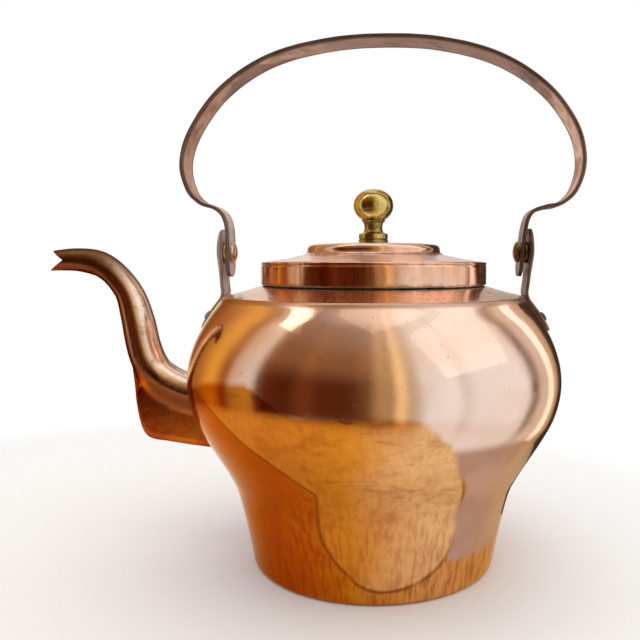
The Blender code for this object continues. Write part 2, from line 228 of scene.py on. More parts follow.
class Look(Nodes):
    """A metal's look: its nodes, its shader and its relief."""

    def __init__(self, name, metallic=1.0):
        self.material = bpy.data.materials.new(name)
        self.material.use_nodes = True
        super().__init__(self.material.node_tree, "Object")
        self.shader = self.tree.nodes["Principled BSDF"]
        self.shader.inputs["Metallic"].default_value = metallic
        self.colour = None
        self.relief = None

    def stretched(self, stretch, turn=(0.0, 0.0, 0.0)):
        made = self.node("ShaderNodeMapping")
        self.put(self.place, made.inputs["Vector"])
        made.inputs["Rotation"].default_value = turn
        made.inputs["Scale"].default_value = stretch
        return made.outputs[0]

    def noise(self, scale, detail=3.0, rough=0.5, place=None, warp=0.0):
        made = self.node("ShaderNodeTexNoise")
        self.put(place or self.place, made.inputs["Vector"])
        made.inputs["Scale"].default_value = scale
        made.inputs["Detail"].default_value = detail
        made.inputs["Roughness"].default_value = rough
        made.inputs["Distortion"].default_value = warp
        return made.outputs[0]

    def spots(self, scale, detail, rough, low, high):
        """Patches of noise with soft edges, from none at low to full at high."""
        return self.band(self.noise(scale, detail, rough), low, high)

    def attribute(self, name):
        return self.node("ShaderNodeAttribute", attribute_name=name).outputs["Fac"]

    def normal(self):
        return self.split(self.node("ShaderNodeNewGeometry").outputs["Normal"])

    def scratches(self, scale, stretch, turn, width, share):
        """Thin lines along the stretched axis, on the given share of the surface."""
        fine = self.noise(scale, 2.0, 0.5, self.stretched(stretch, turn))
        line = self.band(self.maths("ABSOLUTE", self.plus(fine, -0.5)), width, 0.0)
        patch = self.spots(60.0, 2.0, 0.5, 0.62 - share, 0.72 - share)
        return self.times(line, patch)

    def bump(self, height, distance, strength=1.0):
        made = self.node("ShaderNodeBump")
        self.put(height, made.inputs["Height"])
        made.inputs["Distance"].default_value = distance
        made.inputs["Strength"].default_value = strength
        if self.relief:
            self.put(self.relief, made.inputs["Normal"])
        self.relief = made.outputs[0]

    def lay(self, tint, *shares):
        """Lays a tint over the look's colour."""
        self.colour = self.over(self.colour, tint, *shares)

    def done(self, rough, *parts):
        """The finished material; each part adds its share to the roughness."""
        for value, share in parts:
            rough = self.plus(rough, self.times(value, share))
        self.put(self.colour, self.shader.inputs["Base Color"])
        self.put(rough, self.shader.inputs["Roughness"])
        if self.relief:
            self.put(self.relief, self.shader.inputs["Normal"])
        return self.material


PINK = (0.94, 0.62, 0.46)
PALE = (0.96, 0.77, 0.68)
DARK_REFLECTION = (0.46, 0.24, 0.165)
SAND = (0.92, 0.54, 0.24)
OCHRE = (0.74, 0.285, 0.03)
ORANGE = (0.68, 0.235, 0.006)
AMBER = (0.50, 0.066, 0.001)
RUST = (0.36, 0.038, 0.001)
BROWN = (0.30, 0.12, 0.05)
UMBER = (0.05, 0.022, 0.012)

# The lighter patch of the painted table reflection on the front, in metres: its middle, how far it
# reaches and where it bends
PATCH_X = 0.011
PATCH_Z = 0.045
PATCH_HALF = 0.034
PATCH_DEPTH = 0.036
PATCH_BEND = 0.0605


def wear(look, share=0.25):
    """Rubbing marks in three directions, all of them very fine."""
    around = look.scratches(900.0, (1.0, 1.0, 14.0), (0.0, 0.0, 0.0), 0.010, share)
    rising = look.scratches(700.0, (12.0, 12.0, 1.0), (0.0, 0.3, 0.0), 0.008, share)
    slanted = look.scratches(600.0, (1.0, 9.0, 9.0), (0.4, 0.7, 0.2), 0.008, share)
    return look.highest(around, rising, slanted)


def table_reflection_area(look, across, edge):
    """Where the wall carries a painted reflection of an orange table: highest in front and round the
    spout, and lower at the right.
    """
    tilt = look.times(look.maths("MINIMUM", look.y, 0.0), 0.225)
    falls = look.times(look.highest(look.plus(across, -0.024), 0.0), 0.5)
    rises = look.band(across, -0.034, -0.052, 0.0, -0.017)
    height = look.plus(look.z, tilt, falls, rises, look.times(edge, 0.25))

    # It ends towards the right, but for a strip along the foot, and starts again at the back
    left = look.band(across, 0.047, 0.042)
    foot = look.band(look.plus(look.z, look.times(edge, 0.4)), 0.026, 0.020)
    back = look.plus(look.y, look.times(look.z, 0.383), look.times(edge, 0.12))
    reach = look.highest(left, foot, look.band(back, -0.008, 0.008))
    return look.times(look.band(height, 0.0790, 0.0745), reach)


def reflected_light_patch(look, edge):
    """A lighter patch of the painted table reflection on the front, widening to the left as it rises, and
    the dark line of painted reflection round it.
    """
    wavy = look.times(edge, 0.16)
    leans = look.times(look.highest(look.plus(look.z, -PATCH_BEND), 0.0), 1.42)
    leans = look.times(leans, look.band(look.x, 0.02, -0.01))
    wide = look.plus(look.x, leans, wavy, -PATCH_X)
    wide = look.times(wide, 1 / PATCH_HALF)
    below = look.maths("MINIMUM", look.plus(look.z, wavy, -PATCH_Z), 0.0)
    below = look.times(below, 1 / PATCH_DEPTH)
    away = look.maths("SQRT", look.plus(look.times(wide, wide), look.times(below, below)))
    light_patch = look.band(away, 1.04, 0.94)
    patch_rim = look.band(look.maths("ABSOLUTE", look.plus(away, -1.01)), 0.045, 0.0)
    return light_patch, look.times(patch_rim, look.band(look.y, -0.01, -0.03))


def table_reflection_colour(look, across, cloud, edge):
    """A painted reflection of an orange wooden table: amber at the left to sand at the right, streaked
    downwards and brushed across above.
    """
    light_patch, patch_rim = reflected_light_patch(look, edge)
    reflected_table = look.blend(look.band(across, 0.002, -0.045), ORANGE, AMBER)
    reflected_table = look.over(reflected_table, OCHRE, light_patch, 0.55)
    sandy = look.plus(0.50, look.times(light_patch, 0.50))
    reflected_table = look.over(reflected_table, SAND, look.band(across, -0.012, 0.034), sandy)
    streak = look.noise(430.0, 2.0, 0.5, look.stretched((1.0, 1.0, 0.02)), 0.3)
    deep = look.band(look.z, 0.080, 0.035, 0.20, 0.58)
    deep = look.times(deep, look.plus(1.0, look.times(light_patch, -0.4)))
    reflected_table = look.over(reflected_table, RUST, look.band(streak, 0.40, 0.68), deep)
    swirl = look.noise(95.0, 5.0, 0.62, look.stretched((0.6, 0.6, 1.5)), 1.0)
    high = look.band(look.z, 0.040, 0.070, 0.12, 0.42)
    reflected_table = look.over(reflected_table, (0.32, 0.075, 0.004), look.band(swirl, 0.46, 0.70), high)
    flecks = look.spots(260.0, 5.0, 0.7, 0.54, 0.72)
    reflected_table = look.over(reflected_table, (0.86, 0.52, 0.14), flecks, look.band(across, -0.05, 0.02, 0.06, 0.35))
    reflected_table = look.over(reflected_table, RUST, look.band(cloud, 0.50, 0.78, 0.0, 0.30))
    return look.over(reflected_table, (0.20, 0.045, 0.006), patch_rim, look.band(swirl, 0.30, 0.60, 0.45, 0.80))


def wall_copper():
    """Hand-polished copper, pale above, with painted reflections: paler at the right, amber from an
    orange table below, grey-brown at its lower right.
    """
    look = Look("wall_copper")
    cloud = look.noise(30.0, 4.0, 0.55)
    edge = look.times(look.plus(look.noise(24.0, 3.0), -0.5), 0.035)
    across = look.plus(look.x, edge)
    # The amber lower part is a painted reflection of an orange wooden table.
    low = table_reflection_area(look, across, edge)
    reflected_table = table_reflection_colour(look, across, cloud, edge)

    # Paler towards the right: a painted reflection of bright light at that side.
    cool = look.blend(look.band(across, -0.02, 0.03), PINK, PALE)
    cool = look.over(cool, (0.82, 0.50, 0.34), look.band(cloud, 0.44, 0.72, 0.0, 0.30))
    # A grey-brown patch at the lower right: a painted dark reflection.
    dark_reflection = look.times(look.band(across, 0.028, 0.046), look.band(look.z, 0.087, 0.081))
    uneven = look.band(look.noise(40.0, 2.0, 0.4), 0.70, 0.35, 0.70, 0.88)
    cool = look.over(cool, DARK_REFLECTION, dark_reflection, uneven)

    look.colour = look.blend(low, cool, reflected_table)
    speck = look.spots(520.0, 3.0, 0.6, 0.66, 0.74)
    look.lay(BROWN, speck, look.band(cloud, 0.45, 0.6, 0.0, 0.6))
    # A brown band along the crease: painted shade that dims the crease's highlight.
    crease_shade = look.band(look.z, 0.1462, 0.1480)
    look.lay(BROWN, crease_shade, 0.55)
    marks = wear(look)
    look.lay((0.98, 0.80, 0.66), marks, look.band(low, 1.0, 0.0, 0.03, 0.35))
    look.bump(look.noise(40.0, 1.0, 0.3), 0.0006, 0.10)
    look.bump(look.noise(420.0, 3.0, 0.6), 0.0001, 0.10)
    look.bump(marks, 0.000005, 0.5)
    look.put((1.0, 0.80, 0.52, 1.0), look.shader.inputs["Specular Tint"])
    return look.done(0.03, (cloud, 0.06), (marks, 0.12), (speck, 0.18), (crease_shade, 0.22))


def shoulder_copper():
    """Copper dulled by fine speckled tarnish where the lid's rim drips on it."""
    look = Look("shoulder_copper")
    cloud = look.noise(70.0, 4.0, 0.6)
    speck = look.spots(1300.0, 4.0, 0.7, 0.50, 0.62)
    blot = look.spots(300.0, 4.0, 0.65, 0.56, 0.68)
    look.colour = look.blend(look.band(cloud, 0.4, 0.7), (0.95, 0.67, 0.53), (0.86, 0.54, 0.38))
    look.lay((0.40, 0.24, 0.16), speck, 0.42)
    look.lay((0.42, 0.22, 0.12), blot, 0.40)
    marks = wear(look, 0.3)
    look.bump(look.noise(60.0, 2.0), 0.0005, 0.20)
    look.bump(speck, 0.00002, 0.4)
    return look.done(0.13, (speck, 0.22), (blot, 0.12), (marks, 0.1))


def lid_copper():
    """Bright copper of the lid: a painted highlight makes it pale on top, and a painted reflection
    streaks the band dark and orange at its left.
    """
    look = Look("lid_copper")
    cloud = look.noise(38.0, 4.0, 0.6)
    upright = look.noise(190.0, 4.0, 0.65, look.stretched((1.0, 1.0, 0.06)))
    look.colour = look.blend(look.band(cloud, 0.42, 0.72), (0.95, 0.64, 0.49), (0.90, 0.50, 0.33))
    # Paler where the surface faces up: a painted highlight.
    level = look.band(look.normal()[2], 0.4, 0.85)
    top_highlight = look.times(level, look.band(cloud, 0.75, 0.40, 0.55, 0.95))
    look.lay((0.98, 0.88, 0.83), top_highlight)
    # The band is darker and orange at its left: a painted reflection. Its upright streaks are the band's
    # own, drawn stronger at the left as part of that reflection.
    side = look.band(look.z, 0.1690, 0.1680)
    left = look.times(look.band(look.x, 0.016, -0.016), side)
    stripe = look.times(look.band(upright, 0.44, 0.60), side, look.plus(0.18, look.times(left, 0.60)))
    look.lay((0.70, 0.26, 0.06), left, 0.65)
    look.lay((0.48, 0.11, 0.03), stripe)
    grime = look.attribute("edge")
    grime = look.times(grime, look.spots(240.0, 4.0, 0.7, 0.36, 0.62))
    look.lay(BROWN, grime, 0.8)
    speck = look.spots(900.0, 3.0, 0.6, 0.62, 0.72)
    look.lay(BROWN, speck, 0.35)
    marks = wear(look, 0.35)
    look.lay((0.98, 0.78, 0.62), marks, 0.30)
    look.bump(look.noise(70.0, 2.0), 0.0005, 0.20)
    look.bump(marks, 0.000005, 0.5)
    return look.done(0.045, (cloud, 0.08), (marks, 0.12), (grime, 0.25), (level, 0.14))


def spout_copper():
    """Satin copper: golden along the beak's top, with a painted highlight on its upper inner side,
    painted shade underneath and on its outer side, and a painted reflection of an orange table on the
    keel's flat.
    """
    look = Look("spout_copper")
    cloud = look.noise(55.0, 4.0, 0.6)
    right, _, up = look.normal()
    shade_below_and_outside = look.band(up, 0.25, -0.65)
    beak = look.band(look.attribute("along"), 0.36, 0.16)
    look.colour = look.blend(look.band(cloud, 0.40, 0.70), (0.72, 0.38, 0.20), (0.50, 0.22, 0.09))
    # Pale on the sides facing right and up: a painted highlight.
    wear_and_highlight = look.band(look.plus(right, look.times(up, 0.8)), 0.0, 0.65)
    look.lay((0.98, 0.86, 0.78), wear_and_highlight, 0.85)
    gold = look.times(beak, look.band(up, -0.1, 0.6))
    look.lay((0.16, 0.040, 0.006), beak, 0.60)
    look.lay((0.15, 0.066, 0.008), gold, 0.85)
    # Dark underneath and on the outer side: painted shade.
    outer = look.band(look.plus(right, look.times(up, 0.9)), -0.15, -0.95)
    shade_below_and_outside = look.highest(shade_below_and_outside, outer)
    look.lay((0.13, 0.022, 0.004), shade_below_and_outside, 0.92)
    stain = look.spots(170.0, 5.0, 0.7, 0.52, 0.66)
    look.lay((0.26, 0.08, 0.02), stain, 0.35)
    keel = look.attribute("keel")
    # A dark band where the tube turns under into the keel: painted shade.
    look.lay((0.20, 0.042, 0.006), look.band(keel, 0.05, 0.45, 0.0, 0.85))
    # Orange on the keel's flat: a painted reflection of an orange table.
    flat = look.blend(look.band(cloud, 0.38, 0.66), (0.60, 0.125, 0.004), (0.42, 0.055, 0.002))
    look.lay(flat, look.band(keel, 0.50, 0.95, 0.0, 0.94))
    marks = wear(look, 0.35)
    look.lay((0.95, 0.60, 0.36), marks, 0.20)
    look.bump(look.noise(90.0, 3.0), 0.0005, 0.20)
    look.bump(look.noise(900.0, 3.0, 0.6), 0.00005, 0.4)
    look.put((0.28, 0.09, 0.04, 1.0), look.shader.inputs["Specular Tint"])
    return look.done(0.12, (cloud, 0.14), (stain, 0.12), (marks, 0.10), (gold, 0.20))


def aged_copper(name, light, dark, grip=(0.60, 0.36, 0.26), rim=0.85):
    """Oxidised copper that hands have worn, with dark edges; painted shade over its top, and painted
    light at the left and painted shade at the right lower down.
    """
    look = Look(name, 0.6)
    cloud = look.noise(60.0, 5.0, 0.65)
    patch = look.band(look.noise(34.0, 4.0, 0.6, None, 0.8), 0.50, 0.62)
    look.colour = look.blend(look.band(cloud, 0.36, 0.66), light, dark)
    stain = (dark[0] * 0.5, dark[1] * 0.42, dark[2] * 0.42)
    look.lay(stain, patch, 0.60)
    grain = look.noise(520.0, 4.0, 0.7, look.stretched((0.25, 1.0, 0.25)))
    look.lay(grip, look.band(grain, 0.52, 0.72, 0.0, 0.4))
    # Darker over the top of the strap, more so at its right: painted shade.
    top_shade = look.band(look.plus(look.z, look.times(cloud, 0.02)), 0.255, 0.280)
    top_shade = look.times(top_shade, look.band(look.x, -0.06, 0.0, 0.40, 0.90))
    look.lay(look.blend(patch, (0.25, 0.105, 0.07), (0.13, 0.055, 0.035)), top_shade)
    # Low down, pale at the left and dark at the right: painted light and painted shade.
    painted_side_light = look.times(look.band(look.z, 0.205, 0.185), look.band(cloud, 0.75, 0.45))
    lit_left_shaded_right = look.blend(look.band(look.x, -0.02, 0.02), (1.0, 0.88, 0.82), (0.15, 0.075, 0.05))
    look.lay(lit_left_shaded_right, painted_side_light, 0.90)
    edge = look.band(look.plus(look.attribute("edge"), look.times(cloud, 0.25)), 0.80, 1.10)
    look.lay(UMBER, edge, rim)
    marks = wear(look, 0.4)
    look.lay((0.80, 0.52, 0.38), marks, 0.25)
    look.bump(look.noise(120.0, 3.0), 0.0004, 0.25)
    look.bump(look.noise(1400.0, 3.0, 0.7), 0.00005, 0.5)
    return look.done(0.27, (cloud, 0.22), (patch, 0.08), (marks, -0.06))


def brass(name, light, dark, grime):
    """Yellow brass, polished on its swells and darker in its hollows."""
    look = Look(name)
    cloud = look.noise(110.0, 4.0, 0.6)
    look.colour = look.blend(look.band(cloud, 0.38, 0.70), light, dark)
    stain = look.times(look.attribute("edge"), look.spots(420.0, 4.0, 0.7, 0.30, 0.60))
    look.lay((0.14, 0.10, 0.035), stain, grime)
    speck = look.spots(900.0, 3.0, 0.6, 0.62, 0.72)
    look.lay((0.26, 0.17, 0.05), speck, 0.45)
    marks = wear(look, 0.35)
    look.bump(look.noise(260.0, 3.0), 0.0002, 0.20)
    look.bump(marks, 0.000005, 0.5)
    return look.done(0.09, (cloud, 0.10), (stain, 0.25), (marks, 0.12))


def tin(name):
    """Dull wiped-on tin with brushed streaks and grey stains."""
    look = Look(name)
    cloud = look.noise(60.0, 5.0, 0.65)
    streak = look.noise(300.0, 4.0, 0.6, look.stretched((1.0, 1.0, 6.0)))
    look.colour = look.blend(look.band(cloud, 0.36, 0.68), (0.66, 0.63, 0.58), (0.40, 0.37, 0.33))
    look.lay((0.30, 0.26, 0.22), look.band(streak, 0.55, 0.75, 0.0, 0.4))
    rust = look.spots(210.0, 5.0, 0.7, 0.60, 0.72)
    look.lay((0.46, 0.26, 0.15), rust, 0.5)
    look.bump(look.noise(150.0, 3.0), 0.0004, 0.30)
    return look.done(0.30, (cloud, 0.22), (streak, 0.08))


# Curves and outlines

def smooth_path(points, per_span):
    """A curve through the points, leaving each along the line between its neighbours."""
    spots = [Vector(p) for p in points]
    last = len(spots) - 1
    ways = []
    for i in range(last + 1):
        way = spots[min(i + 1, last)] - spots[max(i - 1, 0)]
        ways.append(way.normalized())
    path = []
    for i in range(last):
        start = spots[i]
        end = spots[i + 1]
        reach = (end - start).length
        for step in range(per_span):
            t = step / per_span
            h = t * t * (3 - 2 * t)
            bend_in = reach * t * (1 - t) ** 2
            bend_out = reach * t * t * (1 - t)
            path.append(start.lerp(end, h) + ways[i] * bend_in - ways[i + 1] * bend_out)
    path.append(spots[last])
    return path


def normals(path):
    """The unit normal on the right of the path at each of its points."""
    last = len(path) - 1
    found = []
    for i in range(last + 1):
        way = path[min(i + 1, last)] - path[max(i - 1, 0)]
        found.append(Vector((way[1], -way[0])).normalized())
    return found


def offset(path, distance):
    return [spot + side * distance for spot, side in zip(path, normals(path))]


def rounded(points, radius, steps=4):
    """A closed outline with each corner turned into a small curve."""
    spots = [Vector(p) for p in points]
    path = []
    for before, corner, after in zip(spots[-1:] + spots[:-1], spots, spots[1:] + spots[:1]):
        if corner[0] < 1e-6:
            path.append(corner)
            continue
        reach = min(radius, (before - corner).length * 0.45, (after - corner).length * 0.45)
        start = corner + (before - corner).normalized() * reach
        end = corner + (after - corner).normalized() * reach
        for step in range(steps + 1):
            t = step / steps
            path.append(start * (1 - t) ** 2 + corner * 2 * t * (1 - t) + end * t * t)
    return path


def ease(value, low, high):
    t = max(0.0, min(1.0, (value - low) / (high - low)))
    return t * t * (3 - 2 * t)


def at_height(path, z):
    """The point of a rising path at height z, and the way out of the surface there."""
    for below, above in zip(path, path[1:]):
        if below[1] <= z <= above[1]:
            t = (z - below[1]) / (above[1] - below[1])
            way = (above - below).normalized()
            return below.lerp(above, t), Vector((way[1], -way[0]))
    raise ValueError("the path never reaches that height")


def wall_outside(per_span):
    return smooth_path(WALL_LINE, per_span)


# Meshes

def turned(outline, steps, inner_from=None, edge=None):
    """A body of revolution from a closed (radius, height) outline; its later part is lining."""
    mesh = bmesh.new()
    wear_and_highlight = mesh.verts.layers.float.new("edge")
    rings = []
    for radius, height in outline:
        count = 1 if radius < 1e-6 else steps
        ring = []
        for step in range(count):
            angle = 2 * math.pi * step / steps
            spot = Vector((radius * math.cos(angle), radius * math.sin(angle), height))
            vertex = mesh.verts.new(spot)
            vertex[wear_and_highlight] = edge(radius, height) if edge else 0.0
            ring.append(vertex)
        rings.append(ring * (steps // count))
    for index, (first, second) in enumerate(zip(rings, rings[1:] + rings[:1])):
        for step in range(steps):
            after = (step + 1) % steps
            corners = list(dict.fromkeys([first[step], first[after], second[after], second[step]]))
            if len(corners) > 2:
                face = mesh.faces.new(corners)
                if inner_from is not None and index >= inner_from:
                    face.material_index = 1
    return mesh


def lofted(rings, names=(), values=()):
    """A capped skin over rings, with a value per ring point for each named attribute."""
    mesh = bmesh.new()
    layers = [mesh.verts.layers.float.new(name) for name in names]
    made = []
    for r, ring in enumerate(rings):
        row = []
        for i, spot in enumerate(ring):
            vertex = mesh.verts.new(Vector(spot))
            for layer, value in zip(layers, values):
                vertex[layer] = value[r][i]
            row.append(vertex)
        made.append(row)
    for first, second in zip(made, made[1:]):
        for i in range(len(first)):
            after = (i + 1) % len(first)
            mesh.faces.new((first[i], first[after], second[after], second[i]))
    mesh.faces.new(made[0])
    mesh.faces.new(list(reversed(made[-1])))
    return mesh


def dented(mesh, depth, size, seed):
    """Moves a mesh in or out of the Z axis by slow noise, as hand work leaves it."""
    for vertex in mesh.verts:
        flat = Vector((vertex.co.x, vertex.co.y, 0.0))
        if flat.length > 1.0:
            push = noise.noise(vertex.co / size + Vector((seed, 0.0, 0.0))) * depth
            vertex.co += flat.normalized() * push


def linked(name, data):
    made = bpy.data.objects.new(name, data)
    bpy.context.collection.objects.link(made)
    return made


def from_mesh(mesh, name, materials):
    data = bpy.data.meshes.new(name)
    mesh.to_mesh(data)
    mesh.free()
    for material in materials:
        data.materials.append(material)
    return linked(name, data)


def smooth(data):
    data.shade_smooth()
    data.set_sharp_from_angle(angle=math.radians(40))


def shown(mesh, name, materials):
    """The mesh, in millimetres, as a smooth-shaded object in metres."""
    bmesh.ops.scale(mesh, vec=(MM, MM, MM), verts=mesh.verts)
    bmesh.ops.recalc_face_normals(mesh, faces=mesh.faces)
    made = from_mesh(mesh, name, materials)
    smooth(made.data)
    return made


def cut(target, mesh, name):
    """Takes a mesh away from a shown piece for good."""
    tool = shown(mesh, name, target.data.materials[:1])
    step = target.modifiers.new(name, "BOOLEAN")
    step.operation = "DIFFERENCE"
    step.solver = "EXACT"
    step.object = tool
    graph = bpy.context.evaluated_depsgraph_get()
    kept = bpy.data.meshes.new_from_object(target.evaluated_get(graph))
    target.modifiers.clear()
    target.data = kept
    smooth(kept)
    bpy.data.objects.remove(tool)


def fitted(piece, node, axes):
    """Fits the piece to the box of the solid that it stands for, along the given axes."""
    low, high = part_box(node)
    spots = [vertex.co.copy() for vertex in piece.data.vertices]
    own_low = [min(spot[i] for spot in spots) for i in range(3)]
    own_high = [max(spot[i] for spot in spots) for i in range(3)]
    for vertex in piece.data.vertices:
        for i in axes:
            share = (vertex.co[i] - own_low[i]) / (own_high[i] - own_low[i])
            vertex.co[i] = low[i] + share * (high[i] - low[i])


def place(piece, body, slot, axes=(0, 1, 2)):
    """Puts a finished piece on its body, in place of the solid with the same name."""
    node = piece.name[:-5]
    fitted(piece, node, axes)
    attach(piece, body)
    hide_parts(node)
    return piece


# Body

def body_wall(copper, lining):
    corner = []
    for step in range(9):
        angle = math.pi / 2 * step / 8
        radius = BASE_RADIUS - BASE_EDGE + BASE_EDGE * math.sin(angle)
        corner.append(Vector((radius, BASE_EDGE - BASE_EDGE * math.cos(angle))))
    foot = [Vector((BASE_LIP, 0.0)), Vector((BASE_LIP + 0.3, 0.0)), Vector((62.0, 0.0))]
    rim = [Vector((84.3, 148.4)), Vector((83.8, 149.1)), Vector((83.3, 149.4))]
    outside = foot + corner[:-1] + wall_outside(8) + rim
    inside = offset(outside, -SHEET)[::4]
    inside[0] = Vector((BASE_LIP, SHEET))
    mesh = turned(outside + inside[::-1], LARGE_STEPS, len(outside))
    dented(mesh, 0.10, 23.0, 3.0)
    wall = shown(mesh, "body_wall_skin", [copper, lining])
    cut(wall, lofted(spout_rings(SPOUT_SHEET, 2, 12)), "bore")
    return place(wall, "kettle", "wall_copper", (0, 1))


def base_plate(copper):
    radius = BASE_LIP - 0.2
    low = []
    for step in range(25):
        share = 1 - step / 24
        low.append((radius * share, BASE_RISE * (1 - share ** 2)))
    outline = low + [(0.0, SHEET), (radius, SHEET)]
    piece = shown(turned(outline, LID_STEPS), "base_plate_skin", [copper])
    return place(piece, "kettle", "base_copper")


def shoulder_plate(copper):
    top = []
    for step in range(17):
        t = step / 16
        spot = Vector(CREASE).lerp(Vector(NECK_HOLE), t)
        top.append(spot - Vector((0.0, SHOULDER_SAG * math.sin(math.pi * t))))
    low = [(NECK_HOLE[0], NECK_HOLE[1] - SHEET), (CREASE[0], CREASE[1] - SHEET)]
    mesh = turned(top + low, LARGE_STEPS)
    piece = shown(mesh, "shoulder_plate_skin", [copper])
    return place(piece, "kettle", "shoulder_copper")


def neck_collar(lining):
    bore = COLLAR_RADIUS - SHEET
    outline = [
        (COLLAR_RADIUS, COLLAR_TOP), (COLLAR_RADIUS, 153.9), (67.0, 152.2), (67.0, 151.1),
        (bore, 153.0), (bore, COLLAR_TOP),
    ]
    mesh = turned(rounded(outline, 0.5), LID_STEPS)
    dented(mesh, 0.05, 12.0, 8.0)
    return place(shown(mesh, "neck_collar_skin", [lining]), "kettle", "collar_tin")


# Spout

def spout_section(upper, lower, half_width, inset, points):
    """One closed section: a round tube that eases into a flat keel where the section is deep."""
    down = (lower - upper).normalized()
    start = upper + down * inset
    depth = (lower - upper).length - 2 * inset
    tube = half_width - inset
    deep = max(0.0, min(1.0, (depth - 2 * tube) / (0.8 * tube)))
    side = []
    for step in range(points + 1):
        s = depth * (1 - math.cos(math.pi * step / points)) / 2
        across = math.sqrt(max(0.0, tube ** 2 - (min(s, 2 * tube) - tube) ** 2))
        past = max(0.0, s - depth + SPOUT_KEEL_ROUND) / SPOUT_KEEL_ROUND
        keel = (SPOUT_KEEL - inset) * math.sqrt(max(0.0, 1 - past ** 2))
        waist = (1 + math.cos(math.pi * min(1.0, max(0.0, s / tube - 1)))) / 2
        flared = keel + (tube - keel) * waist if s > tube else across
        side.append((start + down * s, across + (flared - across) * deep))
    front = [(spot[0], -wide, spot[1]) for spot, wide in side]
    back = [(spot[0], wide, spot[1]) for spot, wide in side[1:-1]]
    return front + back[::-1]


def spout_rings(inset, per_span, points):
    upper = smooth_path([row[:2] for row in SPOUT_LINE], per_span)
    lower = smooth_path([row[2:4] for row in SPOUT_LINE], per_span)
    widths = smooth_path([(i, row[4]) for i, row in enumerate(SPOUT_LINE)], per_span)
    rings = []
    for high, low, width in zip(upper, lower, widths):
        rings.append(spout_section(high, low, width[1], inset, points))
    return rings


def spout(copper, lining):
    outer = spout_rings(0.0, SPOUT_SPANS, SPOUT_RING)
    inner = spout_rings(SPOUT_SHEET, SPOUT_SPANS, SPOUT_RING)
    count = len(outer[0])
    along = []
    keel = []
    for r in range(len(outer)):
        along.append([r / (len(outer) - 1)] * count)
        row = []
        for i in range(count):
            down = min(i, count - i) / (count / 2)
            row.append((ease(down, 0.26, 0.38) + ease(down, 0.46, 0.60)) / 2 * ease(r, 54, 66))
        keel.append(row)
    mesh = lofted(outer, ("along", "keel"), (along, keel))
    piece = shown(mesh, "spout_skin", [copper, lining])
    cut(piece, lofted(inner_run(inner)), "bore")
    wall = wall_outside(3)
    wall = [Vector((0.0, 20.0))] + offset(wall, -0.2) + [Vector((0.0, CREASE[1]))]
    cut(piece, turned(wall, 128), "wall")
    cut(piece, slab(SPOUT_NOTCH, 20.0), "notch")
    return place(piece, "kettle", "spout_copper")


def inner_run(rings):
    """The bore's rings, carried on past both ends of the spout."""
    first = [(x - 3.0, y, z) for x, y, z in rings[0]]
    last = [(x + 3.0, y, z) for x, y, z in rings[-1]]
    return [first] + rings + [last]


def slab(profile, half):
    """A straight bar along Y with an (x, z) profile."""
    return lofted([[(x, y, z) for x, z in profile] for y in (-half, half)])


# Handle and its ears

def strap_half(from_tip):
    full = STRAP_LEG_WIDTH + (STRAP_WIDTH - STRAP_LEG_WIDTH) * ease(from_tip, *STRAP_WIDENS)
    short = max(0.0, STRAP_END - from_tip)
    return full / 2 - STRAP_END + math.sqrt(max(0.0, STRAP_END ** 2 - short ** 2))


def flat_section(half, thick, crown):
    """A flat bar's section with rounded edges, as (across, out) and how near each is to an edge."""
    corner = min(crown, half * 0.5, thick * 0.5)
    spots = []
    for turn, (across, out) in enumerate(((1, 1), (-1, 1), (-1, -1), (1, -1))):
        for step in range(4):
            angle = math.pi / 2 * (turn + step / 3)
            spots.append((
                across * (half - corner) + corner * math.cos(angle),
                out * (thick / 2 - corner) + corner * math.sin(angle),
                1.0,
            ))
        if turn in (0, 2):
            for share in (0.85, 0.6, 0.3, 0.0, -0.3, -0.6, -0.85):
                spots.append((across * share * (half - corner), out * thick / 2, abs(share)))
    return spots


def bar(path, halves, thick, crown, hug=None, seed=0.0):
    """A flat bar along an (x, z) path, with worn, slightly uneven edges."""
    rings = []
    values = []
    for spot, side, half in zip(path, normals(path), halves):
        ring = []
        row = []
        for across, out, near in flat_section(half, thick, crown):
            key = Vector((spot[0], across * 0.5, spot[1])) / 9.0 + Vector((seed, 0.0, 0.0))
            y = across + 0.22 * noise.noise(key) * near
            place_2d = spot + side * (out + 0.10 * noise.noise(key * 1.7) * (1 - near))
            x = place_2d[0]
            if hug:
                x -= hug(spot[1]) * (x - math.copysign(math.sqrt(x * x - y * y), x))
            ring.append((x, y, place_2d[1]))
            row.append(near)
        rings.append(ring)
        values.append(row)
    for i in (0, 1, 2, -1, -2, -3):
        values[i] = [1.0] * len(values[i])
    return lofted(rings, ("edge",), (values,))


def resampled(path, end, steps):
    """The path with its first and last stretch, each of length end, sampled as a rounded tip."""
    run = [0.0]
    for before, after in zip(path, path[1:]):
        run.append(run[-1] + (after - before).length)
    marks = [end * (1 - math.cos(math.pi / 2 * step / steps)) for step in range(steps)]
    marks += [along for along in run if end <= along <= run[-1] - end]
    marks += [run[-1] - along for along in marks[:steps][::-1]]
    out = []
    for mark in marks:
        i = max(k for k in range(len(run) - 1) if run[k] <= mark + 1e-9)
        out.append((path[i].lerp(path[i + 1], (mark - run[i]) / (run[i + 1] - run[i])), mark))
    return out, run[-1]


def handle_strap(copper):
    marked, length = resampled(smooth_path(STRAP_LINE, 12), STRAP_END, 9)
    path = [spot for spot, mark in marked]
    halves = [strap_half(min(mark, length - mark)) for spot, mark in marked]
    piece = shown(bar(path, halves, STRAP_THICK, 0.8), "handle_strap_skin", [copper])
    cut(piece, pivot_hole(), "hole")
    return place(piece, "handle", "strap_copper")


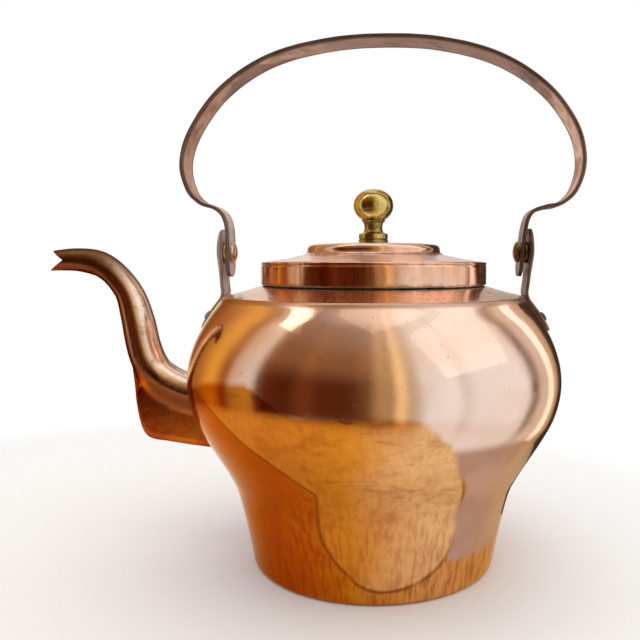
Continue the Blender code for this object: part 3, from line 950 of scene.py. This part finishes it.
def pivot_hole():
    radius = PIVOT_SHANK + 0.2
    mesh = turned([(0.0, -120.0), (radius, -120.0), (radius, 120.0), (0.0, 120.0)], SMALL_STEPS)
    turn = Matrix.Rotation(math.pi / 2, 3, "Y")
    bmesh.ops.rotate(mesh, cent=(0, 0, 0), matrix=turn, verts=mesh.verts)
    bmesh.ops.translate(mesh, vec=(0.0, 0.0, PIVOT_Z), verts=mesh.verts)
    return mesh


def ear_line(eye_x):
    """Middle of an ear: up along the wall, then upright to the top of its eye."""
    wall = wall_outside(6)
    standing = EAR_GAP + EAR_THICK / 2 + 0.2
    foot = []
    for step in range(8):
        z = FOOT_END_Z + (CREASE[1] - 2.6 - FOOT_END_Z) * step / 7
        spot, way = at_height(wall, z)
        foot.append(spot + way * standing)
    bend = [Vector((85.4, 149.6)), Vector((85.0, 151.6)), Vector((85.2, 155.0))]
    upright = []
    for z in (160.0, 166.0, PIVOT_Z, 180.0, 186.8):
        lean = min(1.0, (z - 155.0) / (PIVOT_Z - 155.0))
        upright.append(Vector((85.2 + (eye_x - 85.2) * lean, z)))
    return smooth_path(foot + bend + upright, 8)


def ear_half(z, from_foot):
    plain = EAR_WIDTH / 2
    if z > PIVOT_Z:
        half = math.sqrt(max(0.02, EYE_RADIUS ** 2 - (z - PIVOT_Z) ** 2))
    else:
        half = plain + (EYE_RADIUS - plain) * ease(z, 158.0, PIVOT_Z)
    short = max(0.0, FOOT_CORNER - from_foot)
    return half - FOOT_CORNER + math.sqrt(FOOT_CORNER ** 2 - short ** 2)


def ear(name, turn, eye_x, copper):
    """One ear, wrapped round the wall along its foot and flat at its eye."""
    marked, _ = resampled(ear_line(eye_x), 5.0, 8)
    path = [spot for spot, mark in marked]
    halves = [max(0.3, ear_half(spot[1], mark)) for spot, mark in marked]

    def hug(z):
        return max(0.0, min(1.0, (158.0 - z) / 8.0))

    mesh = bar(path, halves, EAR_THICK, 0.6, hug, eye_x)
    bmesh.ops.rotate(mesh, cent=(0, 0, 0), matrix=Matrix.Rotation(turn, 3, "Z"), verts=mesh.verts)
    piece = shown(mesh, name, [copper])
    cut(piece, pivot_hole(), "hole")
    return place(piece, "kettle", "ear_copper")


def stood(mesh, centre, way):
    """A turned piece stood at centre with its own Z along way."""
    turn = Vector(way).to_track_quat("Z", "Y").to_matrix().to_4x4()
    bmesh.ops.transform(mesh, matrix=Matrix.Translation(Vector(centre)) @ turn, verts=mesh.verts)
    return mesh


def dome(radius, height, base, steps, sign):
    """Points of a low round head, from its rim to its crown on the axis."""
    points = []
    for step in range(steps):
        angle = math.pi / 2 * step / steps
        points.append((radius * math.cos(angle), base + sign * height * math.sin(angle)))
    return points + [(0.0, base + sign * height)]


def pivot_rivet(name, side, head_x, ear_x, material):
    """A dome-headed brass rivet, its tail peened over outside the ear."""
    length = ear_x - head_x
    head = dome(*PIVOT_HEAD, -0.2, 10, -1)
    rim = PIVOT_HEAD[0] - 0.1
    shank = [(rim, 0.0), (PIVOT_SHANK, 0.0), (PIVOT_SHANK, length)]
    outline = head[::-1] + shank + dome(*PIVOT_TAIL, length, 8, 1)
    mesh = turned(outline, SMALL_STEPS, None, lambda r, z: ease(r, 4.0, 5.7))
    for vertex in mesh.verts:
        uneven = noise.noise(vertex.co / 1.8 + Vector((head_x, side, 0)))
        vertex.co += vertex.co.normalized() * 0.06 * uneven
    piece = shown(stood(mesh, (side * head_x, 0, PIVOT_Z), (side, 0, 0)), name, [material])
    return place(piece, "kettle", "brass_bright")


def pivot_washer(name, side, start_x, end_x, material):
    bore = PIVOT_SHANK + 0.3
    thick = end_x - start_x
    outline = [(bore, 0.0), (WASHER_RADIUS, 0.0), (WASHER_RADIUS, thick), (bore, thick)]
    mesh = turned(rounded(outline, 0.3), SMALL_STEPS, None, lambda r, z: 0.8)
    piece = shown(stood(mesh, (side * start_x, 0, PIVOT_Z), (side, 0, 0)), name, [material])
    return place(piece, "kettle", "brass_bright")


def foot_rivet(name, side, y, material):
    """A small copper rivet through the ear's foot and the wall."""
    spot, way = at_height(wall_outside(6), FOOT_RIVET_Z)
    angle = math.asin(y / spot[0])
    flat = Vector((math.cos(angle), math.sin(angle), 0.0))
    turn = Matrix.Rotation(0.0 if side > 0 else math.pi, 3, "Z")
    centre = turn @ (flat * spot[0] + Vector((0, 0, spot[1])))
    out = turn @ (flat * way[0] + Vector((0, 0, way[1])))
    top = 0.6 + EAR_THICK
    tail = -SHEET - 0.3
    shank = [(FOOT_RIVET_SHANK, tail), (FOOT_RIVET_SHANK, top)]
    outline = dome(*FOOT_RIVET_TAIL, tail, 6, -1)[::-1] + shank + dome(*FOOT_RIVET_HEAD, top, 7, 1)
    mesh = turned(outline, 24, None, lambda r, z: ease(r, 1.6, 2.6))
    piece = shown(stood(mesh, centre, out), name, [material])
    return place(piece, "kettle", "rivet_copper")


# Lid

def lid_skirt(copper, lining):
    """The lid's band, its lower edge a little uneven."""
    low, high = LID_BOTTOM, LID_EDGE - 1.7
    outer = [(LID_RADIUS, low + 0.35)]
    outer += [(LID_RADIUS, low + (high - low) * step / 10) for step in range(1, 10)]
    outer += [(LID_RADIUS - 0.05, high - 0.3), (LID_RADIUS - 0.3, high), (LID_RADIUS - 0.3, high + 0.6)]
    inner = [(LID_RADIUS - LID_SHEET - 0.1, z) for z in (high + 0.6, (low + high) / 2, low + 0.3)]
    foot = [(LID_RADIUS - LID_SHEET + 0.3, low), (LID_RADIUS - 0.3, low)]
    outline = outer + inner + foot
    mesh = turned(outline, LARGE_STEPS, len(outer), lambda r, z: 1 - ease(z, low + 0.4, low + 2.2))
    dented(mesh, 0.10, 11.0, 21.0)
    for vertex in mesh.verts:
        if vertex.co.z < low + 0.5:
            vertex.co.z += 0.22 * (1 + noise.noise(vertex.co / 6.0))
    return place(shown(mesh, "lid_skirt_skin", [copper, lining]), "lid", "lid_copper", (0, 1))


def lid_cover(copper, lining):
    """The raised top, its edge folded down over the skirt as a narrow bead."""
    bead = [(LID_RADIUS - LID_SHEET, LID_EDGE - 1.4), (LID_RADIUS - 0.25, LID_EDGE - 1.4)]
    bead += [(LID_RADIUS, LID_EDGE - 1.15), (LID_RADIUS, LID_EDGE - 0.5)]
    bead += [(LID_RADIUS - 0.15, LID_EDGE - 0.15)]
    slope = smooth_path(LID_STEP, 6)
    slope[0] = Vector((LID_RADIUS - 0.5, LID_EDGE + 0.05))
    outside = slope + smooth_path(LID_RISE, 4) + smooth_path(LID_TOP, 5)
    inside = offset(outside, -LID_SHEET)[::3]
    inside[0] = Vector((LID_RADIUS - LID_SHEET, LID_EDGE - 0.9))
    inside[-1] = Vector((SCREW_HOLE, LID_CROWN - LID_SHEET))
    outline = [Vector(p) for p in bead] + outside + inside[::-1]
    mesh = turned(outline, LARGE_STEPS, len(bead) + len(outside), lid_grime)
    for vertex in mesh.verts:
        if vertex.co.z > LID_EDGE - 1.0:
            vertex.co.z += 0.05 * noise.noise(vertex.co / 13.0)
    return place(shown(mesh, "lid_cover_skin", [copper, lining]), "lid", "lid_copper")


def lid_grime(radius, height):
    """How much dirt gathers: under the bead, at the foot of the raised crown and by the knob."""
    at_step = 1 - ease(abs(radius - 39.0), 0.4, 2.2)
    at_knob = 1 - ease(radius, 8.5, 12.0)
    at_bead = 1 - ease(height, LID_EDGE - 1.2, LID_EDGE - 0.7)
    return max(at_step, at_knob * 0.8, at_bead)


def knob_grime(radius, height):
    at_foot = 1 - ease(height, 181.2, 184.6)
    at_neck = 1 - ease(abs(height - 188.6), 2.0, 4.2)
    return max(0.75 * at_foot, at_neck)


def lid_knob(material):
    foot = LID_CROWN + 0.3
    outline = [Vector(p) for p in ((0.0, 192.0), (2.3, 192.0), (2.3, foot))]
    outline += [Vector(p) for p in KNOB_FOOT]
    outline += smooth_path(KNOB_NECK, 5) + [Vector(p) for p in KNOB_RIDGE] + smooth_path(KNOB_BALL, 5)
    outline[-1] = Vector((0.0, KNOB_BALL[-1][1]))
    mesh = turned(outline, 96, None, knob_grime)
    return place(shown(mesh, "lid_knob_skin", [material]), "lid", "brass_bright")


def knob_washer(material):
    top = LID_CROWN - LID_SHEET - 0.3
    outline = [(SCREW_HOLE, top), (7.0, top), (7.0, top - 1.0), (SCREW_HOLE, top - 1.0)]
    mesh = turned(rounded(outline, 0.3), SMALL_STEPS)
    return place(shown(mesh, "knob_washer_skin", [material]), "lid", "tin_plate")


def knob_screw(material):
    """The slotted screw that holds the knob from below."""
    top = LID_CROWN - LID_SHEET - 1.6
    outline = dome(*SCREW_HEAD, top - 0.2, 8, -1)[::-1] + [(SCREW_HEAD[0], top)]
    outline += [(SCREW_SHANK, top), (SCREW_SHANK, SCREW_TOP), (0.0, SCREW_TOP)]
    mesh = turned(outline, SMALL_STEPS, None, lambda r, z: 0.6)
    piece = shown(mesh, "knob_screw_skin", [material])
    low, high = top - 4.0, top - 1.5
    cut(piece, slab([(-0.5, low), (0.5, low), (0.5, high), (-0.5, high)], 5.0), "slot")
    return place(piece, "lid", "brass_bright")


# Studio

def ramp(nodes, value, stops):
    made = nodes.node("ShaderNodeValToRGB")
    made.color_ramp.interpolation = "EASE"
    nodes.put(value, made.inputs[0])
    while len(made.color_ramp.elements) < len(stops):
        made.color_ramp.elements.new(1.0)
    for element, (spot, colour) in zip(made.color_ramp.elements, stops):
        element.position = spot
        element.color = (*colour, 1.0)
    return made.outputs[0]


def sky():
    """White behind the kettle; the light around it is a soft tent with darker gaps."""
    world = bpy.data.worlds.new("studio")
    bpy.context.scene.world = world
    world.use_nodes = True
    world.node_tree.nodes.clear()
    nodes = Nodes(world.node_tree, "Generated")

    # 0 behind the kettle, 0.5 in front of it; 0 straight down, 1 straight up
    turn = nodes.maths("ARCTAN2", nodes.x, nodes.times(nodes.y, -1.0))
    around = nodes.maths("MULTIPLY_ADD", turn, 0.5 / math.pi, 0.5)
    height = nodes.maths("MULTIPLY_ADD", nodes.z, 0.5, 0.5)
    ring = [(0.5 + degrees / 360.0, colour) for degrees, colour in AROUND]
    share = ramp(nodes, height, [(spot, (level,) * 3) for spot, level in TOP_SHARE])
    tent = nodes.node("ShaderNodeBackground")
    glow = nodes.blend(share, ramp(nodes, around, ring), ramp(nodes, height, UPWARDS))
    nodes.put(glow, tent.inputs[0])
    rays = nodes.node("ShaderNodeLightPath")
    light = tent.outputs[0]
    for kind, level in (("Is Diffuse Ray", 1.05), ("Is Camera Ray", 1.0)):
        plain = nodes.node("ShaderNodeBackground")
        nodes.put((level, level, level), plain.inputs[0])
        choose = nodes.node("ShaderNodeMixShader")
        nodes.put(rays.outputs[kind], choose.inputs[0])
        nodes.put(light, choose.inputs[1])
        nodes.put(plain.outputs[0], choose.inputs[2])
        light = choose.outputs[0]
    nodes.put(light, nodes.node("ShaderNodeOutputWorld").inputs[0])


# The tent's light round the horizon, by degrees to the right of the front
AROUND = [
    (-176, (0.80, 0.73, 0.67)), (-158, (0.92, 0.84, 0.78)), (-146, (0.26, 0.11, 0.04)),
    (-130, (0.40, 0.18, 0.06)), (-106, (0.80, 0.45, 0.08)), (-95, (0.36, 0.15, 0.04)),
    (-86, (0.66, 0.58, 0.50)), (-75, (0.76, 0.80, 0.80)), (-67, (0.12, 0.03, 0.01)),
    (-48, (0.08, 0.018, 0.005)), (-38, (0.16, 0.05, 0.018)), (-28, (0.10, 0.025, 0.008)),
    (-12, (0.09, 0.024, 0.008)), (-2, (0.14, 0.055, 0.02)), (6, (0.45, 0.28, 0.13)),
    (12, (0.36, 0.22, 0.11)), (18, (1.10, 0.80, 0.38)), (24, (0.50, 0.38, 0.27)),
    (34, (0.84, 0.82, 0.78)), (50, (0.90, 0.88, 0.84)), (57, (0.74, 0.70, 0.64)),
    (66, (0.88, 0.86, 0.82)), (102, (0.92, 0.89, 0.86)), (110, (0.22, 0.15, 0.12)),
    (118, (0.70, 0.58, 0.50)), (140, (0.60, 0.46, 0.38)), (150, (0.10, 0.06, 0.05)),
    (164, (0.12, 0.08, 0.06)), (172, (0.75, 0.68, 0.62)),
]

# The tent's light from straight down to straight up, and how far it takes over from the horizon's
UPWARDS = [
    (0.0, (0.30, 0.17, 0.08)),
    (0.5, (0.80, 0.46, 0.20)),
    (0.8, (0.94, 0.60, 0.30)),
    (1.0, (0.95, 0.90, 0.85)),
]
TOP_SHARE = [(0.0, 0.8), (0.40, 0.0), (0.62, 0.0), (0.80, 0.20), (0.93, 0.30), (1.0, 0.85)]


def softbox(name, spot, target, width, height, energy, colour):
    lamp = bpy.data.lights.new(name, "AREA")
    lamp.shape = "RECTANGLE"
    lamp.size = width
    lamp.size_y = height
    lamp.energy = energy
    lamp.color = colour
    made = linked(name, lamp)
    made.location = spot
    made.rotation_euler = (Vector(target) - Vector(spot)).to_track_quat("-Z", "Y").to_euler()
    made.visible_camera = False


def card(name, turn, distance, low, high, width, colour):
    """An upright flag or reflector beside the kettle, seen only as a reflection in its metal."""
    angle = math.radians(turn)
    out = Vector((math.sin(angle), -math.cos(angle), 0.0))
    across = Vector((math.cos(angle), math.sin(angle), 0.0)) * width / 2
    mesh = bmesh.new()
    for side, height in ((-1, low), (1, low), (1, high), (-1, high)):
        mesh.verts.new(out * distance + across * side + Vector((0.0, 0.0, height)))
    mesh.faces.new(mesh.verts)
    look = Look(name, 0.0)
    look.put((0.0, 0.0, 0.0), look.shader.inputs["Base Color"])
    look.put(colour, look.shader.inputs["Emission Color"])
    look.put(1.0, look.shader.inputs["Emission Strength"])
    made = from_mesh(mesh, name, [look.material])
    made.visible_camera = False
    made.visible_diffuse = False
    made.visible_shadow = False


def lights():
    sky()
    card("flag_right", 128, 0.185, 0.0, 0.32, 0.085, (0.03, 0.022, 0.02))
    card("flag_low", 117, 0.110, 0.0, 0.052, 0.020, (0.14, 0.06, 0.03))
    card("reflector_right", 99, 0.18, 0.0, 0.26, 0.026, (1.3, 1.25, 1.22))
    softbox("overhead_softbox", (0.08, -0.08, 1.30), (0.03, -0.03, 0.1), 1.1, 1.0, 0.8, (1.0, 0.92, 0.80))
    softbox("right_softbox", (0.95, -0.40, 0.95), (0, 0, 0.12), 1.1, 0.9, 0.7, (1.0, 0.98, 0.98))
    softbox("upper_left_softbox", (-0.42, -0.16, 0.85), (0, 0, 0.12), 0.16, 0.42, 0.28, (1.0, 0.95, 0.88))


def floor():
    """A round pale floor that fades out into the white around it."""
    mesh = bmesh.new()
    rings = []
    for radius in (0.10, 0.25, 0.52):
        ring = []
        for step in range(FLOOR_STEPS):
            angle = 2 * math.pi * step / FLOOR_STEPS
            spot = (radius * math.cos(angle), radius * math.sin(angle), -0.0002)
            ring.append(mesh.verts.new(spot))
        rings.append(ring)
    mesh.faces.new(rings[0])
    for first, second in zip(rings, rings[1:]):
        for step in range(FLOOR_STEPS):
            after = (step + 1) % FLOOR_STEPS
            mesh.faces.new((first[step], second[step], second[after], first[after]))
    look = Look("floor_card", 0.0)
    away = look.node("ShaderNodeVectorMath", operation="DISTANCE")
    look.put(look.place, away.inputs[0])
    away.inputs[1].default_value = (-0.11, -0.02, 0.0)
    fade = look.band(away.outputs["Value"], 0.40, 0.17)
    paper = look.noise(500.0, 4.0, 0.6)
    shade = look.blend(look.band(paper, 0.3, 0.7), (0.95, 0.94, 0.925), (0.92, 0.91, 0.895))
    look.put(shade, look.shader.inputs["Base Color"])
    look.put(0.85, look.shader.inputs["Roughness"])
    look.put(fade, look.shader.inputs["Alpha"])
    made = from_mesh(mesh, "floor", [look.material])


def camera():
    """A close view from the front, level with the lid's edge and a little to the right."""
    distance = 0.4042
    side = math.radians(2.5)
    data = bpy.data.cameras.new("camera")
    data.sensor_width = 36.0
    data.lens = 40.1
    data.shift_x = -0.0599
    data.clip_start = 0.02
    made = linked("camera", data)
    made.location = (distance * math.sin(side), -distance * math.cos(side), 0.1664)
    made.rotation_euler = (math.radians(90 - 4.38), 0.0, math.radians(3.7))
    bpy.context.scene.camera = made


def build():
    lining = tin("tin_lining")
    lid_metal = lid_copper()
    strap_metal = aged_copper("strap_copper", (0.92, 0.58, 0.42), (0.56, 0.27, 0.17), (0.92, 0.70, 0.56))
    ear_metal = aged_copper("ear_copper", (0.92, 0.72, 0.62), (0.60, 0.40, 0.30), rim=0.60)
    rivet_metal = aged_copper("rivet_copper", (0.60, 0.36, 0.24), (0.36, 0.18, 0.11))
    bright = brass("knob_brass", (0.76, 0.62, 0.22), (0.50, 0.38, 0.10), 0.80)
    # The pivot's brass comes as a lit copy for the left rivet and washer and the screw, and a shaded copy
    # for the right ones: painted light and painted shade.
    lit_brass = brass("rivet_brass", (0.93, 0.83, 0.55), (0.70, 0.56, 0.28), 0.40)
    shaded_brass = brass("rivet_brown", (0.36, 0.27, 0.15), (0.18, 0.13, 0.07), 0.75)
    body_wall(wall_copper(), lining)
    base_plate(aged_copper("base_copper", (0.66, 0.34, 0.18), (0.42, 0.20, 0.10)))
    shoulder_plate(shoulder_copper())
    neck_collar(lining)
    spout(spout_copper(), lining)
    handle_strap(strap_metal)
    ear("bracket_left_skin", math.pi, 85.7, ear_metal)
    ear("bracket_right_skin", 0.0, 86.7, ear_metal)
    pivot_rivet("pivot_rivet_left_skin", -1, 80.4, 86.9, lit_brass)
    pivot_rivet("pivot_rivet_right_skin", 1, 80.4, 87.9, shaded_brass)
    pivot_washer("pivot_washer_left_skin", -1, 83.2, 84.5, lit_brass)
    pivot_washer("pivot_washer_right_skin", 1, 83.8, 85.4, shaded_brass)
    for side, word in ((-1, "left"), (1, "right")):
        for y, end in ((-FOOT_RIVET_Y * side, "front"), (FOOT_RIVET_Y * side, "rear")):
            foot_rivet(f"foot_rivet_{word}_{end}_skin", side, y, rivet_metal)
    lid_skirt(lid_metal, lining)
    lid_cover(lid_metal, lining)
    lid_knob(bright)
    knob_washer(lining)
    knob_screw(lit_brass)
    lights()
    floor()
    camera()
    bpy.context.scene.view_settings.view_transform = "Standard"


build()
